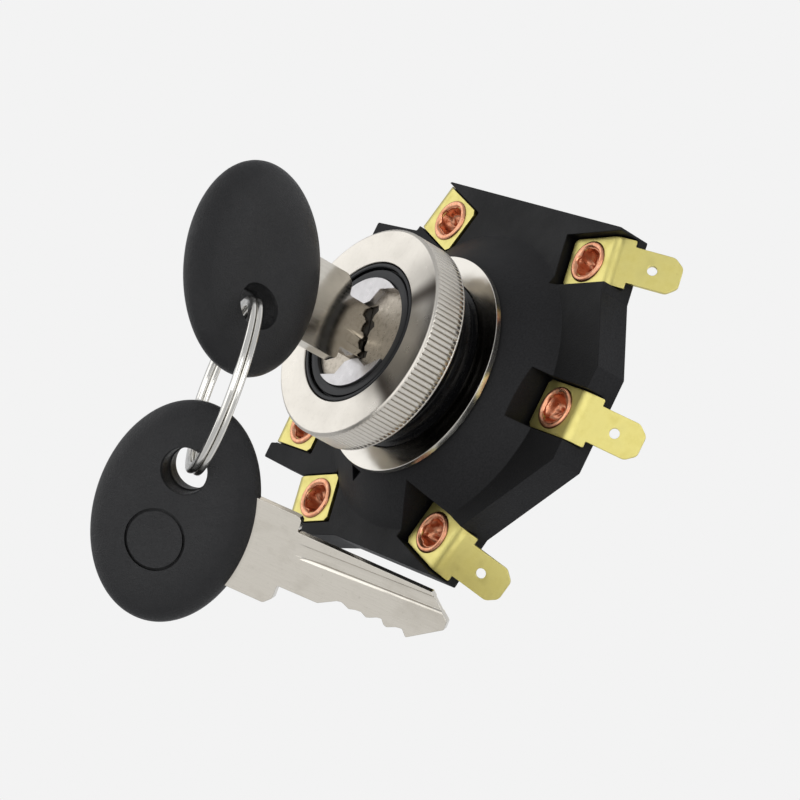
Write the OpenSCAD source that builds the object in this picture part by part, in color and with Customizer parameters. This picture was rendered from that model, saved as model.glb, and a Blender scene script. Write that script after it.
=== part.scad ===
// Selector key switch: panel-mount rotary switch worked by a key, with seven
// riveted blade terminals, a knurled ring nut, two keys and a split ring.
// Units are millimetres. +Z runs along the lock axis, out towards the key.
// The origin is on the lock axis, at the front face of the panel washer.

/* [Terminals] */
// Width of each blade tab
tab_w = 6.3; // [4.8:0.1:6.4]
// Length of the narrow part of each blade tab
tab_len = 8.4; // [7:0.2:11]
// Downward slope of the blade tabs, degrees
tab_slope = 46; // [35:1:52]
// Thickness of the brass strip
strip_t = 0.8; // [0.6:0.05:0.8]

/* [Front] */
// Outer diameter of the knurled ring nut
nut_d = 37; // [36:0.2:38]
// Height of the ring nut
nut_h = 6.4; // [5.8:0.1:6.8]
// Height of the ring nut's rear face above the washer
nut_gap = 6.4; // [6:0.1:6.6]
// Number of knurl teeth on the ring nut
knurl_n = 128; // [90:2:130]
// Outer diameter of the panel washer
washer_d = 38.7; // [37:0.1:39]

/* [Keys] */
// Thickness of the key blades
blade_t = 2; // [1.6:0.1:2]
// Length of a key blade from shoulder to tip
blade_len = 27.2; // [24:0.2:27.4]
// Long half-axis of the moulded key head
head_a = 18.5; // [17:0.1:19]
// Short half-axis of the moulded key head
head_b = 13.3; // [12.5:0.1:13.8]

/* [View] */
// Which sub-part to draw

/* [Hidden] */

eps = 0.01;
$fn = 96;

// Heights of the moulded base
front_z = -7.6;
rear_z = -13.8;
hub_top_z = -1.2;
hub_top_r = 18.8;
hub_foot_r = 26.7;
cavity_r = 17.6;
flange_seat_z = -5.2;
notch_angle = -12;
notch_r = 19.9;
notch_z = -4.2;

// Base plate outline
plate_left = -33.2;
plate_right = 30.8;
plate_top = 35.2;
arm_foot_y = -36.3;
arm_tip_y = -37.9;
arm_in = 20.1;
arm_out = 22.8;

// Barrel and lock
barrel_r = 15;
thread_pitch = 1.5;
thread_depth = 0.75;
thread_top_z = 8.5;
nose_r = 12.3;
nose_z = 12.65;
barrel_bore_r = 11.65;
barrel_flange_r = 17.5;
barrel_rear_z = -8.2;
shell_r = 11.6;
shell_bore_r = 9.72;
shell_rear_z = -10.5;
shell_front_z = 12.35;
nut_flange_z = 11.06;
plug_r = 9.65;
plug_rear_z = -12;
cap_z = 11.2;
plug_face_z = 12.77;
tail_half = 4;
tail_end_z = -19;
clip_z = -11.4;
clip_t = 0.7;
clip_groove_r = 8.6;

// Key
key_angle = -157.05;
shoulder_z = 16.5;
blade_half = 4.65;
slot_half = 4.75;
slot_t = blade_t + 0.15;
shank_half = 7.6;
shank_shift = 0.5;
shank_top_z = 29.5;
head_z = 36.3;
head_shift = 0.6;
hole_off = 7.6;
hole_r = 3.5;
hole_mouth_r = 4.2;
hole_straight = 1.2;
head_rim = 2.4;
head_mid = 4.3;

// Wafers
wafer_n = 5;
wafer_pitch = 3;
wafer_first_z = 6.6;
wafer_t = 1.1;
wafer_w = 8;
wafer_half = 8.3;

// Terminals: angle of the pad's outward direction, rivet position, pad height
pad_w = 8.5;
pad_in = 4.5;
bend_at = 5.4;
wide_len = 2.8;
tab_hole_r = 0.85;
tab_hole_at = 3.6;
pocket_gap = 0.3;
pocket_end_gap = 0.9;
flush_z = front_z;
sunk_z = -9.05;
eyelet_r = 2.55;
eyelet_bore_r = 2;
eyelet_flange_r = 3.65;
eyelet_roll = 0.5;
eyelet_foot_r = 2.95;
contact_z = -13.75;
contact_w = 3.6;
contact_pad_r = 3.5;
contact_in_r = 9.8;

T_POS = [[-26.6, -18.6], [-26.5, 19.2], [-1.9, 28.2], [24.1, 13.2],
  [26.2, -18.6], [15.1, -31], [-15.1, -31]];
T_DIR = [252, 104, 89.4, 74, 286, 271, 269];
T_TOP = [flush_z, sunk_z, sunk_z, sunk_z, flush_z, flush_z, flush_z];

// Rotor, contact bridge and rear cover
bridge_z = -14.75;
bridge_t = 0.7;
bump_r = 1.5;
bump_top_z = -13.78;
bridge_ring_r = 11.5;
bump_at = [94, 215, 325];
rotor_top_z = -15;
rotor_end_z = -21.4;
rotor_r = 15.6;
post_at = [30, 155];
post_r = 1.2;
post_ring_r = 9;
spring_pocket_r = 2.3;
cover_flange_z = -15.8;
cover_bore_r = 16.2;
cover_r = 17.8;
cover_floor_z = -24.2;
cover_end_z = -25.8;
journal_r = 4;
journal_end_z = -25;
detent_z = -18.3;
ball_r = 1.6;
ball_at_r = 14.5;
detent_angle = 270;
detent_step = 45;
screw_ring_r = 24;
screw_len = 6;
screw_at = [0, 61, 180, 270];

// Key ring and spare key
ring_mean_r = 13.9;
ring_wire_r = 0.9;
ring_wire_h = 1;
ring_pitch = 1.06;
ring_centre = [18.947, 8.991, 37.601];
ring_normal = [-0.1036, 0.4356, -0.8941];
spare_pos = [39.87, 6.13, 33.36];
spare_turn = [45, 13.8, -11.4];

black = [0.09, 0.09, 0.1];
dark = [0.14, 0.14, 0.15];
nickel = [0.76, 0.74, 0.7];
brass = [0.86, 0.74, 0.36];
copper = [0.78, 0.42, 0.26];
steel = [0.7, 0.71, 0.73];

// Outline of the moulded base plate
module plate_outline() {
  polygon([[plate_left, -23.4], [plate_left, 25.3], [-26, 26.7],
    [-22.2, 27.6], [-10.3, plate_top], [6.2, plate_top], [21.7, 21.1],
    [23.1, 20.2], [plate_right, 18.9], [plate_right, -9.1],
    [32.6, -16.7], [31.4, -22.6], [23.4, -24.7], [arm_out, arm_tip_y],
    [arm_in, arm_tip_y], [19.8, arm_foot_y], [-19.8, arm_foot_y],
    [-arm_in, arm_tip_y], [-arm_out, arm_tip_y], [-23.3, -26.3]]);
}

// Outline of the rear cover's flange, inside the plate's outline
module cover_outline() {
  polygon([[-30, -20.5], [-30, 22.5], [-22, 25], [-9.5, 32], [5.5, 32],
    [20, 19], [27.8, 17], [27.8, -8], [29.4, -16], [28.6, -20.8],
    [20.4, -22.5], [20.4, -34.4], [-20.4, -34.4], [-20.4, -23]]);
}

// Places children at terminal i: origin on the rivet at the pad's top face,
// +X along the pad's outward direction
module at_terminal(i) {
  translate([T_POS[i][0], T_POS[i][1], T_TOP[i]])
    rotate([0, 0, T_DIR[i]])
      children();
}

// The pocket a terminal lies in, opened outwards and along the tab's slope
module terminal_pocket(i) {
  half = pad_w / 2 + pocket_gap;
  depth = strip_t + 0.05;
  back = -pad_in - pocket_end_gap;
  reach = 20;
  at_terminal(i) {
    translate([0, half, 0])
      rotate([90, 0, 0])
        linear_extrude(2 * half)
          polygon([[back, reach], [back, -depth], [bend_at, -depth],
            [bend_at + reach, -depth - reach * tan(tab_slope)],
            [bend_at + reach, reach]]);
    translate([0, 0, -20])
      cylinder(r = eyelet_r + 0.05, h = 20);
  }
}

// A slot in the base's rear face for one fixed contact strip
module contact_slot(i, w, z0, z1, pad) {
  p = T_POS[i];
  r = norm(p);
  a = atan2(p[1], p[0]);
  translate([0, 0, z0])
    linear_extrude(z1 - z0)
      union() {
        rotate([0, 0, a])
          translate([contact_in_r, -w / 2])
            square([r - contact_in_r, w]);
        translate(p)
          circle(r = pad);
      }
}

module base_housing() {
  color(dark)
    difference() {
      union() {
        translate([0, 0, rear_z])
          linear_extrude(front_z - rear_z)
            plate_outline();
        translate([0, 0, front_z])
          cylinder(r1 = hub_foot_r, r2 = hub_top_r,
            h = hub_top_z - front_z);
      }
      // Bore for the barrel and the space behind it
      translate([0, 0, flange_seat_z - eps])
        cylinder(r = barrel_r + 0.05, h = 10);
      translate([0, 0, rear_z - 1])
        cylinder(r = cavity_r, h = flange_seat_z - rear_z + 1);
      // Groove for the seal ring
      translate([0, 0, hub_top_z - 1.1])
        difference() {
          cylinder(r = 17.9, h = 2);
          translate([0, 0, -1])
            cylinder(r = 16.1, h = 4);
        }
      for (i = [0 : 6])
        terminal_pocket(i);
      for (i = [0 : 6])
        contact_slot(i, contact_w + 0.3, rear_z - 1, contact_z + 0.85,
          contact_pad_r + 0.15);
      for (a = screw_at)
        rotate([0, 0, a])
          translate([screw_ring_r, 0, rear_z - 1])
            cylinder(r = 1.5, h = 5.5);
      // Moulded notch in the hub's side, just behind the washer
      rotate([0, 0, notch_angle])
        translate([notch_r, 0, notch_z])
          rotate([90, 0, 90])
            linear_extrude(6)
              polygon([[-1.6, 0], [3.4, 3], [3.4, 5], [-1.6, 5]]);
    }
}

module seal_ring() {
  color(black)
    translate([0, 0, hub_top_z - 0.5])
      rotate_extrude()
        translate([17, 0])
          circle(r = 0.5, $fn = 24);
}

module rear_cover() {
  color(dark)
    difference() {
      union() {
        translate([0, 0, cover_flange_z])
          linear_extrude(rear_z - cover_flange_z)
            cover_outline();
        translate([0, 0, cover_end_z])
          cylinder(r = cover_r, h = rear_z - cover_end_z);
      }
      translate([0, 0, cover_floor_z])
        cylinder(r = cover_bore_r, h = 20);
      translate([0, 0, journal_end_z - 0.1])
        cylinder(r = journal_r + 0.05, h = 5);
      for (i = [0 : 6])
        translate([T_POS[i][0], T_POS[i][1], rear_z - 1.1])
          cylinder(r = eyelet_foot_r + 0.3, h = 3);
      for (a = screw_at)
        rotate([0, 0, a])
          translate([screw_ring_r, 0, -20])
            cylinder(r = 1.65, h = 10);
      for (k = [0 : 2])
        rotate([0, 0, detent_angle - k * detent_step])
          translate([ball_at_r + 0.4, 0, detent_z])
            sphere(r = ball_r + 0.15, $fn = 48);
    }
}

module cover_screws() {
  color(steel)
    for (a = screw_at)
      rotate([0, 0, a])
        translate([screw_ring_r, 0, 0])
          difference() {
            union() {
              translate([0, 0, cover_flange_z])
                cylinder(r = 1.45, h = screw_len);
              translate([0, 0, cover_flange_z - 1.8])
                cylinder(r = 2.8, h = 1.8);
            }
            translate([-0.4, -3, cover_flange_z - 2])
              cube([0.8, 6, 1.1]);
            translate([-3, -0.4, cover_flange_z - 2])
              cube([6, 0.8, 1.1]);
          }
}

// Annular thread profile: crests of triangular section at each pitch
module thread_profile() {
  turns = floor((thread_top_z + 0.4) / thread_pitch);
  inner = barrel_bore_r;
  root = barrel_r - thread_depth;
  rotate_extrude()
    union() {
      translate([inner, barrel_rear_z])
        square([root - inner, thread_top_z - barrel_rear_z]);
      translate([inner, hub_top_z - 4])
        square([barrel_r - inner, 4 + 1.2]);
      for (k = [0 : turns - 1])
        translate([0, thread_top_z - 0.1 - k * thread_pitch])
          polygon([[root - 0.1, 0], [root, 0], [barrel_r, -0.55],
            [barrel_r, -0.8], [root, -1.35], [root - 0.1, -1.35]]);
    }
}

module threaded_barrel() {
  color(black)
    difference() {
      union() {
        thread_profile();
        translate([0, 0, barrel_rear_z])
          cylinder(r = barrel_flange_r,
            h = flange_seat_z - barrel_rear_z - 0.02);
        translate([0, 0, thread_top_z - 0.5])
          cylinder(r = nose_r, h = nose_z - thread_top_z + 0.5);
      }
      translate([0, 0, barrel_rear_z - 1])
        cylinder(r = barrel_bore_r, h = 30);
    }
}

module lock_shell() {
  color(black)
    difference() {
      union() {
        translate([0, 0, shell_rear_z])
          cylinder(r = shell_r, h = shell_front_z - shell_rear_z);
        translate([0, 0, shell_rear_z])
          cylinder(r = 14.5, h = barrel_rear_z - shell_rear_z - 0.02);
      }
      translate([0, 0, shell_rear_z - 1])
        cylinder(r = shell_bore_r, h = 40);
      // Shallow ring channel in the visible front rim
      translate([0, 0, shell_front_z - 0.5])
        difference() {
          cylinder(r = 11.2, h = 2);
          translate([0, 0, -1])
            cylinder(r = 10.3, h = 4);
        }
    }
}

module panel_washer() {
  color(nickel)
    difference() {
      translate([0, 0, hub_top_z])
        cylinder(d = washer_d, h = -hub_top_z);
      translate([0, 0, hub_top_z - 1])
        cylinder(r = barrel_r + 0.1, h = 4);
    }
}

module ring_nut() {
  tooth = 0.35;
  lip = 0.7;
  body_r = nut_d / 2;
  color(nickel)
    difference() {
      translate([0, 0, nut_gap])
        union() {
          linear_extrude(nut_h)
            circle(r = body_r - tooth);
          // Plain lips at the rear and front of the knurl
          cylinder(r = body_r, h = lip);
          translate([0, 0, nut_h - 1.5])
            cylinder(r1 = body_r, r2 = body_r - 0.3, h = 0.9);
          translate([0, 0, lip - eps])
            linear_extrude(nut_h - 1.5 - lip + 2 * eps)
              for (k = [0 : knurl_n - 1])
                rotate([0, 0, k * 360 / knurl_n])
                  polygon([[body_r - tooth - 0.2, -0.4],
                    [body_r - tooth, -0.4], [body_r - 0.02, -0.12],
                    [body_r - 0.02, 0.12], [body_r - tooth, 0.4],
                    [body_r - tooth - 0.2, 0.4]]);
        }
      translate([0, 0, nut_gap - 1])
        cylinder(r = barrel_r + 0.06, h = nut_flange_z + 1 - nut_gap);
      translate([0, 0, 0])
        cylinder(r = nose_r + 0.1, h = 30);
      // Bevel on the front edge
      translate([0, 0, nut_gap + nut_h - 0.6])
        difference() {
          cylinder(r = body_r + 2, h = 2);
          translate([0, 0, -eps])
            cylinder(r1 = body_r - 0.3, r2 = body_r - 0.8, h = 0.6 + eps);
          }
    }
}

module lock_plug() {
  wide = wafer_w + 0.15;
  color(nickel)
    rotate([0, 0, key_angle])
      difference() {
        union() {
          translate([0, 0, plug_rear_z])
            cylinder(r = plug_r, h = cap_z - plug_rear_z);
          translate([-tail_half, -tail_half, tail_end_z])
            cube([2 * tail_half, 2 * tail_half,
              plug_rear_z - tail_end_z + 1]);
        }
        // Keyway
        translate([-slot_half, -slot_t / 2, shoulder_z - blade_len - 0.2])
          cube([2 * slot_half, slot_t, 40]);
        // Slots for the wafers
        for (k = [0 : wafer_n - 1])
          translate([-plug_r - 1, -wide / 2,
            wafer_first_z - k * wafer_pitch - 0.1])
            cube([2 * plug_r + 2, wide, wafer_t + 0.2]);
        // Pockets for the wafers' ears and springs
        for (k = [0 : wafer_n - 1])
          translate([-5, wafer_w / 2 + 0.9,
            wafer_first_z - k * wafer_pitch + wafer_t / 2])
            rotate([0, 90, 0])
              cylinder(r = 1.05, h = 9, $fn = 32);
        // Groove for the retaining clip
        translate([0, 0, clip_z - 0.05])
          difference() {
            cylinder(r = plug_r + 1, h = clip_t + 0.1);
            translate([0, 0, -1])
              cylinder(r = clip_groove_r, h = 4);
          }
      }
}

// Bow-tie recess across the plug's face
module bow_tie() {
  waist = 5;
  mouth = 7;
  reach = plug_r + 2;
  polygon([[-waist, 0], [-waist - 0.2, 1.6], [-mouth, 3.6],
    [-mouth + 1.4, reach], [mouth - 1.4, reach], [mouth, 3.6],
    [waist + 0.2, 1.6], [waist, 0], [waist + 0.2, -1.6],
    [mouth, -3.6], [mouth - 1.4, -reach], [-mouth + 1.4, -reach],
    [-mouth, -3.6], [-waist - 0.2, -1.6]]);
}

module plug_face_cap() {
  color(steel)
    rotate([0, 0, key_angle])
      difference() {
        translate([0, 0, cap_z])
          cylinder(r = plug_r, h = plug_face_z - cap_z);
        translate([0, 0, cap_z + 0.4])
          linear_extrude(3)
            bow_tie();
        translate([-slot_half, -slot_t / 2, cap_z - 1])
          cube([2 * slot_half, slot_t, 4]);
      }
}

module wafer_tumblers() {
  color(brass)
    rotate([0, 0, key_angle])
      for (k = [0 : wafer_n - 1])
        translate([0, 0, wafer_first_z - k * wafer_pitch])
          linear_extrude(wafer_t)
            difference() {
              union() {
                translate([-wafer_half, -wafer_w / 2])
                  square([2 * wafer_half, wafer_w]);
                translate([2.2, wafer_w / 2 - 0.1])
                  square([1.4, 1.6]);
              }
              translate([-5, -1.3])
                square([10, 2.6]);
            }
}

// A coil of round wire standing on z = 0, as a swept tube
module coil(r, wire, height, turns) {
  steps = 14 * turns;
  sides = 6;
  rise = height - 2 * wire;
  pts = [for (i = [0 : steps], j = [0 : sides - 1])
    let (a = 360 * turns * i / steps,
      b = 360 * j / sides,
      q = r + wire * cos(b))
    [q * cos(a), q * sin(a), wire + rise * i / steps + wire * sin(b)]];
  walls = [for (i = [0 : steps - 1], j = [0 : sides - 1], half = [0, 1])
    let (m = (j + 1) % sides, a = i * sides, b = a + sides)
    half == 0 ? [a + j, a + m, b + m] : [a + j, b + m, b + j]];
  first_end = [[for (j = [sides - 1 : -1 : 0]) j]];
  last_end = [[for (j = [0 : sides - 1]) steps * sides + j]];
  polyhedron(points = pts, faces = concat(first_end, walls, last_end),
    convexity = 8);
}

module wafer_springs() {
  color(steel)
    rotate([0, 0, key_angle])
      for (k = [0 : wafer_n - 1])
        translate([-4.9, wafer_w / 2 + 0.9,
          wafer_first_z - k * wafer_pitch + wafer_t / 2])
          rotate([0, 90, 0])
            coil(0.6, 0.2, 7, 5);
}

module plug_retaining_clip() {
  color(steel)
    translate([0, 0, clip_z])
      difference() {
        cylinder(r = 11.4, h = clip_t);
        translate([0, 0, -1])
          cylinder(r = clip_groove_r + 0.03, h = 4);
        rotate([0, 0, 200])
          translate([0, -6, -1])
            cube([20, 12, 4]);
      }
}

module switch_rotor() {
  color([0.75, 0.72, 0.64])
    difference() {
      union() {
        translate([0, 0, rotor_end_z])
          cylinder(r = rotor_r, h = rotor_top_z - rotor_end_z);
        translate([0, 0, journal_end_z])
          cylinder(r = journal_r, h = rotor_end_z - journal_end_z + 1);
        for (a = post_at)
          rotate([0, 0, a])
            translate([post_ring_r, 0, rotor_top_z - 1])
              cylinder(r = post_r, h = 2, $fn = 32);
      }
      rotate([0, 0, key_angle])
        translate([-tail_half - 0.05, -tail_half - 0.05, tail_end_z - 0.1])
          cube([2 * tail_half + 0.1, 2 * tail_half + 0.1, 10]);
      for (a = bump_at)
        rotate([0, 0, a])
          translate([bridge_ring_r, 0, rotor_top_z - 5])
            cylinder(r = spring_pocket_r, h = 6, $fn = 48);
      rotate([0, 0, detent_angle])
        translate([9.2, 0, detent_z])
          rotate([0, 90, 0])
            cylinder(r = ball_r + 0.08, h = 8, $fn = 48);
    }
}

module contact_bridge() {
  color(brass)
    union() {
      difference() {
        translate([0, 0, bridge_z])
          cylinder(r = 13.6, h = bridge_t);
        translate([0, 0, bridge_z - 1])
          cylinder(r = 6.2, h = 4);
        for (a = post_at)
          rotate([0, 0, a])
            translate([post_ring_r, 0, bridge_z - 1])
              cylinder(r = post_r + 0.1, h = 3, $fn = 32);
      }
      for (a = bump_at)
        rotate([0, 0, a])
          translate([bridge_ring_r, 0, bridge_z + bridge_t - 0.1])
            cylinder(r1 = bump_r, r2 = bump_r - 0.3,
              h = bump_top_z - bridge_z - bridge_t + 0.1, $fn = 32);
    }
}

module contact_springs() {
  color(steel)
    for (a = bump_at)
      rotate([0, 0, a])
        translate([bridge_ring_r, 0, rotor_top_z - 5])
          coil(1.75, 0.25, bridge_z - rotor_top_z + 4.98, 5);
}

module return_spring() {
  color(steel)
    translate([0, 0, cover_floor_z + 0.05])
      coil(8.5, 0.45, 2.5, 2);
}

module detent_ball() {
  color(steel)
    rotate([0, 0, detent_angle])
      translate([ball_at_r, 0, detent_z])
        sphere(r = ball_r, $fn = 48);
}

module detent_spring() {
  color(steel)
    rotate([0, 0, detent_angle])
      translate([9.3, 0, detent_z])
        rotate([0, 90, 0])
          coil(1.1, 0.2, 3.5, 4);
}

// A blade terminal: riveted pad, bend, wide shoulder and narrow tab
module blade_terminal(i) {
  half = pad_w / 2;
  tip = wide_len + tab_len;
  th = tab_w / 2;
  color(brass)
    at_terminal(i)
      difference() {
        union() {
          translate([0, 0, -strip_t])
            linear_extrude(strip_t)
              polygon([[-pad_in, -half + 0.7], [-pad_in + 0.7, -half],
                [bend_at, -half], [bend_at, half],
                [-pad_in + 0.7, half], [-pad_in, half - 0.7]]);
          translate([bend_at, -half, -strip_t])
            rotate([-90, 0, 0])
              cylinder(r = strip_t, h = pad_w, $fn = 48);
          translate([bend_at, 0, -strip_t])
            rotate([0, tab_slope, 0])
              linear_extrude(strip_t)
                difference() {
                  polygon([[0, -half], [wide_len, -half],
                    [wide_len, -th], [tip - 1.7, -th],
                    [tip, -th + 1.4], [tip, th - 1.4],
                    [tip - 1.7, th], [wide_len, th],
                    [wide_len, half], [0, half]]);
                  translate([wide_len + tab_hole_at, 0])
                    circle(r = tab_hole_r, $fn = 32);
                }
        }
        // Trims the bend's round to the strip's lower side
        translate([bend_at - 2, -half - 1, -strip_t - 4])
          cube([2, pad_w + 2, 4]);
        translate([bend_at, -half - 1, -strip_t])
          rotate([0, tab_slope, 0])
            translate([0, 0, -4])
              cube([3, pad_w + 2, 4]);
        translate([bend_at, 0, -strip_t])
          rotate([0, tab_slope / 2, 0])
            translate([-2, -half - 1, -4])
              cube([4, pad_w + 2, 4]);
        translate([0, 0, -3])
          cylinder(r = eyelet_r + 0.05, h = 6);
      }
}

module terminal_1() { blade_terminal(0); }
module terminal_2() { blade_terminal(1); }
module terminal_3() { blade_terminal(2); }
module terminal_4() { blade_terminal(3); }
module terminal_5() { blade_terminal(4); }
module terminal_6() { blade_terminal(5); }
module terminal_7() { blade_terminal(6); }

// Rolled eyelets that rivet each terminal to its fixed contact
module terminal_eyelets() {
  color(copper)
    for (i = [0 : 6])
      translate([T_POS[i][0], T_POS[i][1], 0])
        rotate_extrude($fn = 64)
          union() {
            translate([eyelet_bore_r, contact_z - 0.55])
              square([eyelet_r - eyelet_bore_r,
                T_TOP[i] - contact_z + 0.8]);
            translate([eyelet_r - 0.2, T_TOP[i]])
              square([eyelet_flange_r - eyelet_r + 0.2 - eyelet_roll / 2,
                eyelet_roll]);
            translate([eyelet_flange_r - eyelet_roll / 2,
              T_TOP[i] + eyelet_roll / 2])
              circle(r = eyelet_roll / 2, $fn = 24);
            translate([(eyelet_bore_r + eyelet_r) / 2, T_TOP[i] + 0.3])
              circle(r = 0.3, $fn = 24);
            translate([eyelet_bore_r, contact_z - 0.55])
              square([eyelet_foot_r - eyelet_bore_r, 0.55]);
          }
}

// A fixed contact strip from the eyelet to the contact ring
module fixed_contact(i) {
  color(copper)
    difference() {
      contact_slot(i, contact_w, contact_z, contact_z + 0.8,
        contact_pad_r);
      translate([T_POS[i][0], T_POS[i][1], contact_z - 1])
        cylinder(r = eyelet_r + 0.05, h = 4);
    }
}

module fixed_contact_1() { fixed_contact(0); }
module fixed_contact_2() { fixed_contact(1); }
module fixed_contact_3() { fixed_contact(2); }
module fixed_contact_4() { fixed_contact(3); }
module fixed_contact_5() { fixed_contact(4); }
module fixed_contact_6() { fixed_contact(5); }
module fixed_contact_7() { fixed_contact(6); }

// A key blade in its own frame: +X across the blade towards the cuts,
// +Z from tip to head, centred on the blade
module blade() {
  tip_z = shoulder_z - blade_len;
  h = blade_half;
  low = shank_shift - shank_half;
  high = shank_shift + shank_half;
  difference() {
    translate([0, blade_t / 2, 0])
      rotate([90, 0, 0])
        linear_extrude(blade_t)
          polygon([[low, shoulder_z + 1.2], [low + 1.2, shoulder_z],
            [-h, shoulder_z], [-h, tip_z + 4], [-1.2, tip_z],
            [0.2, tip_z], [h, tip_z + 3.2], [h - 0.6, tip_z + 4.6],
            [h - 0.6, tip_z + 6.2], [h - 1.3, tip_z + 7.2],
            [h - 1.3, tip_z + 9], [h - 0.4, tip_z + 10.4],
            [h - 1, tip_z + 11.6], [h - 1, tip_z + 13],
            [h - 0.3, tip_z + 14.2], [h - 1.1, tip_z + 15.6],
            [h - 1.1, tip_z + 17], [h, tip_z + 18.6], [h, shoulder_z],
            [high - 1.2, shoulder_z], [high, shoulder_z + 1.2],
            [high, shank_top_z], [low, shank_top_z]]);
    // Milled groove along both faces near the straight edge
    for (s = [0, 1])
      mirror([0, s, 0])
        translate([-3.4, blade_t / 2 - 0.4, tip_z - 1])
          cube([1.5, 1, blade_len + 2.5]);
  }
}

// One quarter of the head's rounded section as [scale, thickness] pairs
HEAD_STEPS = [for (k = [0 : 6])
  let (a = 90 * k / 6)
  [1 - 0.13 * (1 - cos(a)), head_rim * sin(a)]];

// The moulded head: an oval pillow with rounded edges and domed faces
module head_blank() {
  sides = 72;
  dome = [[0.72, head_rim + (head_mid - head_rim) * 0.45],
    [0.45, head_rim + (head_mid - head_rim) * 0.85],
    [0.2, head_mid]];
  up = concat(HEAD_STEPS, dome);
  n = len(up);
  rows = concat([for (k = [n - 1 : -1 : 1]) [up[k][0], -up[k][1]]], up);
  m = len(rows);
  pts = [for (i = [0 : m - 1], j = [0 : sides - 1])
    let (a = 360 * j / sides)
    [head_a * rows[i][0] * cos(a), -rows[i][1],
      head_b * rows[i][0] * sin(a)]];
  walls = [for (i = [0 : m - 2], j = [0 : sides - 1])
    let (k = (j + 1) % sides)
    [i * sides + j, (i + 1) * sides + j, (i + 1) * sides + k,
      i * sides + k]];
  caps = [[for (j = [0 : sides - 1]) j],
    [for (j = [sides - 1 : -1 : 0]) (m - 1) * sides + j]];
  polyhedron(points = pts, faces = concat(walls, caps), convexity = 4);
}

module head() {
  low = shank_shift - shank_half;
  difference() {
    translate([head_shift, 0, head_z])
      head_blank();
    translate([low, -blade_t / 2, shoulder_z])
      cube([2 * shank_half, blade_t, shank_top_z - shoulder_z]);
    translate([head_shift - hole_off, 0, head_z])
      rotate([90, 0, 0]) {
        translate([0, 0, -10])
          cylinder(r = hole_r, h = 20, $fn = 48);
        for (s = [0, 1])
          mirror([0, 0, s])
            translate([0, 0, hole_straight])
              cylinder(r1 = hole_r, r2 = hole_mouth_r,
                h = head_mid - hole_straight, $fn = 48);
      }
  }
}

// Places children made in the key's frame at the spare key
module at_spare() {
  translate(spare_pos)
    rotate(spare_turn)
      translate([-head_shift, 0, -head_z])
        children();
}

module key_blade() {
  color(nickel)
    rotate([0, 0, key_angle])
      blade();
}

module key_head() {
  color(black)
    rotate([0, 0, key_angle])
      head();
}

module spare_key_blade() {
  color(nickel)
    at_spare()
      blade();
}

module spare_key_head() {
  color(black)
    at_spare()
      head();
}

// Split ring: two turns of flat wire, one above the other
module split_coils() {
  steps = 140;
  turns = 1.97;
  pts = [for (i = [0 : steps], j = [0 : 3])
    let (a = 360 * turns * i / steps,
      q = ring_mean_r + (j < 2 ? -ring_wire_r : ring_wire_r),
      u = (j == 0 || j == 3 ? -0.5 : 0.5) * ring_wire_h,
      z = ring_pitch * (turns * i / steps - turns / 2) + u)
    [q * cos(a), q * sin(a), z]];
  walls = [for (i = [0 : steps - 1], j = [0 : 3])
    let (m = (j + 1) % 4)
    [i * 4 + m, i * 4 + j, (i + 1) * 4 + j, (i + 1) * 4 + m]];
  ends = [[0, 1, 2, 3],
    [steps * 4 + 3, steps * 4 + 2, steps * 4 + 1, steps * 4]];
  polyhedron(points = pts, faces = concat(walls, ends), convexity = 8);
}

module key_ring() {
  lean = acos(ring_normal[2]);
  bearing = atan2(ring_normal[1], ring_normal[0]);
  color(steel)
    translate(ring_centre)
      rotate([0, lean, bearing])
        split_coils();
}

base_housing();
seal_ring();
rear_cover();
cover_screws();
threaded_barrel();
lock_shell();
panel_washer();
ring_nut();
lock_plug();
plug_face_cap();
wafer_tumblers();
wafer_springs();
plug_retaining_clip();
switch_rotor();
contact_bridge();
contact_springs();
return_spring();
detent_ball();
detent_spring();
terminal_1();
terminal_2();
terminal_3();
terminal_4();
terminal_5();
terminal_6();
terminal_7();
terminal_eyelets();
fixed_contact_1();
fixed_contact_2();
fixed_contact_3();
fixed_contact_4();
fixed_contact_5();
fixed_contact_6();
fixed_contact_7();
key_blade();
key_head();
key_ring();
spare_key_blade();
spare_key_head();
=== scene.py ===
"""Selector key switch: shapes, materials, light and camera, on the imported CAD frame.

Shapes are worked out in millimetres in the frame of the part's source, +Z along the
lock axis, and scaled to metres when each piece is made.
"""

import math

import bmesh
import bpy
from mathutils import Euler, Matrix, Vector, noise


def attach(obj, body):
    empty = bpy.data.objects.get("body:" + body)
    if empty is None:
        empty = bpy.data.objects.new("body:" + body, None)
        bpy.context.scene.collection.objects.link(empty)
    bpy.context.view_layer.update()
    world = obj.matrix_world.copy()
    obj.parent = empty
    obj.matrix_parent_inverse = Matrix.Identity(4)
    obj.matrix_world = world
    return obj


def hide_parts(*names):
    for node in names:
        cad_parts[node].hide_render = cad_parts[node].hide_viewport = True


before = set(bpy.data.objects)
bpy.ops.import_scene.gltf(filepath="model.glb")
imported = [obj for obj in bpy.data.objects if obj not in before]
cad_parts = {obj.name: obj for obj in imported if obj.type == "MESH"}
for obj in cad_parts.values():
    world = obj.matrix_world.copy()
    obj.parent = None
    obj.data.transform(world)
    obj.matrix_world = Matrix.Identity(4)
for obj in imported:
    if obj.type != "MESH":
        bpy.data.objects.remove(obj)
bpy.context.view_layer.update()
MM = 0.001
TAU = 2 * math.pi

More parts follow.
